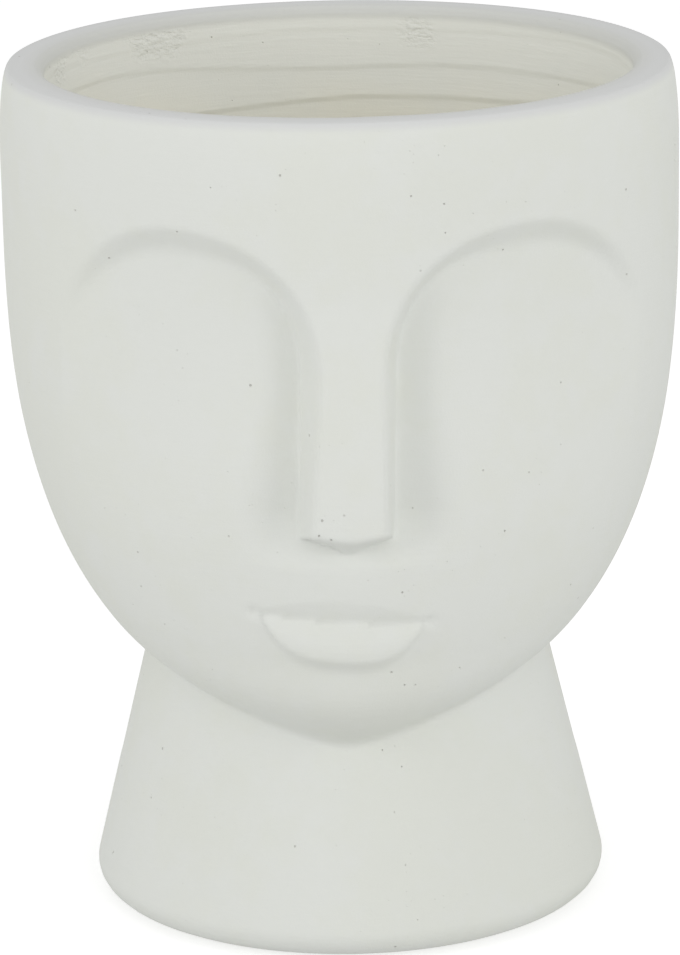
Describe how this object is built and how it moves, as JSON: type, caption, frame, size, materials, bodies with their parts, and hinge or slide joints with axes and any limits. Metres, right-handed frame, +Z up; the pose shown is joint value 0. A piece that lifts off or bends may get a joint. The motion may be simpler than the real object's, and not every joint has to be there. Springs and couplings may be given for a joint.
{
  "type": "head planter",
  "caption": "Matte off-white planter in the form of an abstract head on a flared neck, open at the top, with a pull-out drain plug and rubber foot pads.",
  "frame": {"origin": "centre of the circle of foot pads, on the floor under the axis of the pot", "axes": "+Z up along the axis of the pot, -Y the way the face looks, +X to the right for someone who looks at the face"},
  "size_m": [0.2368, 0.2422, 0.301],
  "materials": {
    "matte_cast": "matte off-white coat over a fine-grained casting with pinholes",
    "plug_rubber": "soft black rubber",
    "pad_rubber": "grey rubber"
  },
  "bodies": {
    "pot": {"pot_body": "matte_cast", "foot_pad_front_left": "pad_rubber", "foot_pad_front_right": "pad_rubber", "foot_pad_back_left": "pad_rubber", "foot_pad_back_right": "pad_rubber"},
    "plug": {"drain_plug": "plug_rubber"}
  },
  "joints": [
    {"name": "plug_pull", "type": "slide", "parent": "pot", "child": "plug", "axis": [0, 0, -1], "range_m": [0, 0.03]}
  ]
}
